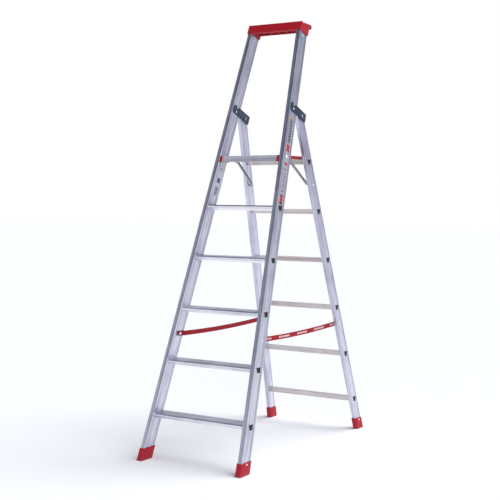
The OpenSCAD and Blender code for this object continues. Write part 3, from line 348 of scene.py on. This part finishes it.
nylon = moulded("moulded_natural_nylon", "#D8D6CC", "#C9C7BC", 0.45, 0.8)
black_plastic = moulded("moulded_black_polyethylene", "#141416", "#1E1E22", 0.5, 0.8)
webbing = woven("woven_red_polyester_webbing", "#C4122A", "#8A0C1C", "#EDE6E2")
long_print = printed(
    "screen_print_long", LONG_START, LONG_END,
    [(0.0, DARK), (0.014, RED), (0.085, DARK), (0.12, RED), (0.135, GREY), (0.19, RED), (0.20, GREY), (0.25, RED),
     (0.262, GREY), (0.31, RED), (0.318, GREY), (0.36, AMBER), (0.372, BLUE), (0.40, GREY), (0.42, RED),
     (0.46, GREY), (0.56, RED), (0.67, DARK), (0.955, AMBER)],
    [(0.0, FULL), (0.10, CLEAR), (0.36, FULL), (0.46, CLEAR), (0.575, FULL), (0.655, CLEAR), (0.955, FULL)],
    [(0.0, FULL), (0.10, CLEAR), (0.12, FULL), (0.345, CLEAR), (0.362, FULL), (0.384, CLEAR), (0.425, FULL),
     (0.45, CLEAR), (0.575, FULL), (0.655, CLEAR), (0.672, FULL), (0.945, CLEAR), (0.957, FULL), (0.98, CLEAR)],
    0.30, 0.66, 9.2353)
short_print = printed(
    "screen_print_short", SHORT_START, SHORT_END,
    [(0.0, DARK), (0.30, BLUE), (0.7, GREY)], [(0.0, CLEAR), (0.42, FULL), (0.6, CLEAR)],
    [(0.0, FULL), (0.28, CLEAR), (0.42, FULL), (0.6, CLEAR), (0.86, FULL)], 0.34, 0.70, 7.85)

FINISH = {
    "tread_aluminium": brightened_tread_alloy, "rung_aluminium": rung_alloy, "red_plastic": red_plastic,
    "hinge_steel": plate_steel, "plated_steel": strut_steel, "rivet_steel": rivet_steel, "nylon": nylon,
    "black_plastic": black_plastic, "webbing": webbing, "label_foil": long_print,
}
slot_of = {part["node"]: part["material_slot"] for part in frame["record"]["subparts"]}
body_of = {name: body for body, names in frame["record"]["behaviour"]["bodies"].items() for name in names}


def finish_of(name):
    if "shoe" in name and "rivet" not in name:
        return shoe_plastic
    if name == "platform_board":
        return platform_alloy
    if name == "stile_label_short":
        return short_print
    if slot_of[name] == "stile_aluminium":
        return front_alloy if name.startswith("front") else rear_alloy
    return FINISH[slot_of[name]]


for name in slot_of:
    mesh = nodes[name].data
    mesh.materials.clear()
    mesh.materials.append(finish_of(name))
    mesh.shade_smooth()
    mesh.set_sharp_from_angle(angle=CAD_SHARP)


def piece_from(name, mesh, *replaced):
    """A new piece in the finish and slot of the first CAD node that it stands for."""
    piece = bpy.data.objects.new(name, mesh)
    bpy.context.scene.collection.objects.link(piece)
    mesh.materials.clear()
    mesh.materials.append(finish_of(replaced[0]))
    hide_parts(*replaced)
    return piece


def eased(node, ease_mm, steps=2):
    """The node's own shape with its sharp edges rounded, as mould radii or tumbled and deburred edges are."""
    mesh = nodes[node].data.copy()
    form = bmesh.new()
    form.from_mesh(mesh)
    bmesh.ops.remove_doubles(form, verts=form.verts, dist=SAME_POINT)
    bmesh.ops.dissolve_limit(form, angle_limit=FLAT, verts=form.verts, edges=form.edges)
    sharp = [edge for edge in form.edges if edge.is_manifold and edge.calc_face_angle(0) > ROUNDED_FROM]
    bmesh.ops.bevel(form, geom=sharp, offset=ease_mm * MM, segments=steps, profile=0.6, affect="EDGES",
                    clamp_overlap=True)
    form.to_mesh(mesh)
    form.free()
    piece = piece_from(node + "_eased", mesh, node)
    mesh.shade_smooth()
    mesh.set_sharp_from_angle(angle=ROUNDED_SHARP)
    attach(piece, body_of[node])


for node in ("front_shoe_left", "front_shoe_right", "rear_shoe_left", "rear_shoe_right"):
    eased(node, 1.6, 3)
for node in ("tool_tray", "platform_cap_left", "platform_cap_right", "platform_board"):
    eased(node, 1.0)
for node in ("tray_rivets", "hinge_plate_rivets", "front_shoe_rivets", "rear_shoe_rivets", "platform_bolt_left",
             "platform_bolt_right", "strut_anchor_rivets"):
    eased(node, 0.7, 3)
for node in ("hinge_plate_outer_left", "hinge_plate_outer_right", "hinge_plate_inner_left",
             "hinge_plate_inner_right"):
    eased(node, 0.5)


def strap(side):
    """Webbing hung between two rivets with its width upright. It turns a little about its length as it sags."""
    node = "strap_" + side
    outward = -1 if side == "left" else 1
    low_corner, high_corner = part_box(node)
    middle = (low_corner[0] + high_corner[0]) / 2
    span = STRAP_REAR[0] - STRAP_FRONT[0]
    mesh = bpy.data.meshes.new(node + "_webbing")
    form = bmesh.new()
    cloth = form.loops.layers.uv.new("webbing")
    rings, run, last = [], 0.0, None
    for row in range(STRAP_ROWS + 1):
        along = -STRAP_TAIL + (span + 2 * STRAP_TAIL) * row / STRAP_ROWS
        share = min(max(along / span, 0), 1)
        sag = 4 * share * (1 - share)
        centre = Vector((middle, STRAP_FRONT[0] + along, STRAP_FRONT[1] - STRAP_SAG * sag))
        run += (centre - last).length if last else 0.0
        last = centre
        lean = STRAP_TURN * sag * outward
        ring = []
        for face in (1, -1):
            for rib in range(STRAP_RIBS + 1):
                across = (rib / STRAP_RIBS - 0.5) * face
                edge = STRAP_EDGE if rib in (0, STRAP_RIBS) else 1.0
                depth = face * outward * STRAP_THICK / 2 * edge
                offset = Vector((depth * math.cos(lean) - across * STRAP_WIDE * math.sin(lean), 0,
                                 across * STRAP_WIDE * math.cos(lean) + depth * math.sin(lean)))
                ring.append((form.verts.new(centre + offset), run,
                             (across + 0.5) * STRAP_WIDE + (1.0 if face > 0 else 0.0)))
        rings.append(ring)
    count = len(rings[0])
    for first, second in zip(rings, rings[1:]):
        for i in range(count):
            k = (i + 1) % count
            corners = [first[i], first[k], second[k], second[i]]
            face = form.faces.new([c[0] for c in corners])
            for loop, corner in zip(face.loops, corners):
                loop[cloth].uv = corner[1:]
    for ring in (rings[0], rings[-1]):
        form.faces.new([c[0] for c in ring])
    bmesh.ops.recalc_face_normals(form, faces=form.faces)
    form.to_mesh(mesh)
    form.free()
    piece = piece_from(node + "_webbing", mesh, node)
    mesh.shade_smooth()
    mesh.set_sharp_from_angle(angle=CLOTH_SHARP)
    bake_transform(piece)


strap("left")
strap("right")

# Studio: white paper underfoot and behind
floor_mesh = bpy.data.meshes.new("studio_floor")
floor = bpy.data.objects.new("studio_floor", floor_mesh)
bpy.context.scene.collection.objects.link(floor)
form = bmesh.new()
bmesh.ops.create_grid(form, x_segments=1, y_segments=1, size=FLOOR_HALF)
form.to_mesh(floor_mesh)
form.free()
paper = new_material("studio_paper")
paper_shader = add(paper, "ShaderNodeBsdfPrincipled", {"Base Color": "#FBFBFB", "Roughness": 0.9})
add(paper, "ShaderNodeOutputMaterial", {}, {"Surface": (paper_shader, "BSDF")})
floor_mesh.materials.append(paper)

# The paper backdrop is white to the eye. The room that the metal mirrors is dim: pale on the left at eye level, mid
# grey on the right, and dark blue-grey higher up, which gives bare aluminium its pale treads and dark front faces.
world = bpy.data.worlds.new("studio")
bpy.context.scene.world = world
world.use_nodes = True
world.node_tree.nodes.clear()
direction = add(world, "ShaderNodeTexCoord")
toward = add(world, "ShaderNodeSeparateXYZ", {}, {0: (direction, "Generated")})
left_wall = add(world, "ShaderNodeValToRGB",
                {"stops": [(0.0, "#ECECF2"), (0.24, "#E6E7EE"), (0.34, "#CDD0DA"), (0.44, "#8F95A5"),
                           (0.60, "#50576A"), (1.0, "#5A6072")]}, {"Fac": (toward, "Z")})
right_wall = add(world, "ShaderNodeValToRGB",
                 {"stops": [(0.0, "#BDBEC9"), (0.10, "#B8BAC7"), (0.24, "#B0B3C1"), (0.50, "#6A7084"),
                            (1.0, "#5A6072")]}, {"Fac": (toward, "Z")})
side_of_room = add(world, "ShaderNodeMapRange",
                   {"interpolation_type": "SMOOTHSTEP", "From Min": -0.35, "From Max": 0.25},
                   {"Value": (toward, "X")})
room = add(world, "ShaderNodeMix", BLEND,
           {FIRST: (left_wall, "Color"), SECOND: (right_wall, "Color"), "Factor": (side_of_room, "Result")})
sight = add(world, "ShaderNodeLightPath")
seen = add(world, "ShaderNodeMix", BLEND | {SECOND: "#FFFFFF"},
           {FIRST: (room, "Result"), "Factor": (sight, "Is Camera Ray")})
backdrop = add(world, "ShaderNodeBackground", {"Strength": 1.0}, {"Color": (seen, "Result")})
add(world, "ShaderNodeOutputWorld", {}, {"Surface": (backdrop, "Background")})
bpy.context.scene.view_settings.view_transform = "Standard"


def lamp_from(name, direction, spread, strength):
    """A broad, even light from a direction, like a bank of softboxes."""
    light = bpy.data.lights.new(name, "SUN")
    light.angle = math.radians(spread)
    light.energy = strength
    lamp = bpy.data.objects.new(name, light)
    bpy.context.scene.collection.objects.link(lamp)
    lamp.rotation_euler = (-Vector(direction)).to_track_quat("-Z", "Y").to_euler()


lamp_from("ceiling_light", (0.45, 0.35, 1.0), 50, 2.75)
lamp_from("side_light", (1.0, -1.3, 0.55), 40, 0.9)

camera_data = bpy.data.cameras.new("camera")
camera_data.lens = CAMERA_LENS
camera = bpy.data.objects.new("camera", camera_data)
bpy.context.scene.collection.objects.link(camera)
look = CAMERA_LOOK.normalized()
right = look.cross(Vector((0, 0, 1))).normalized()
up = right.cross(look)
roll = math.radians(CAMERA_ROLL)
right, up = (math.cos(roll) * right + math.sin(roll) * up, math.cos(roll) * up - math.sin(roll) * right)
camera.matrix_world = Matrix.Translation(CAMERA_PLACE) @ Matrix((right, up, -look)).transposed().to_4x4()
bpy.context.scene.camera = camera
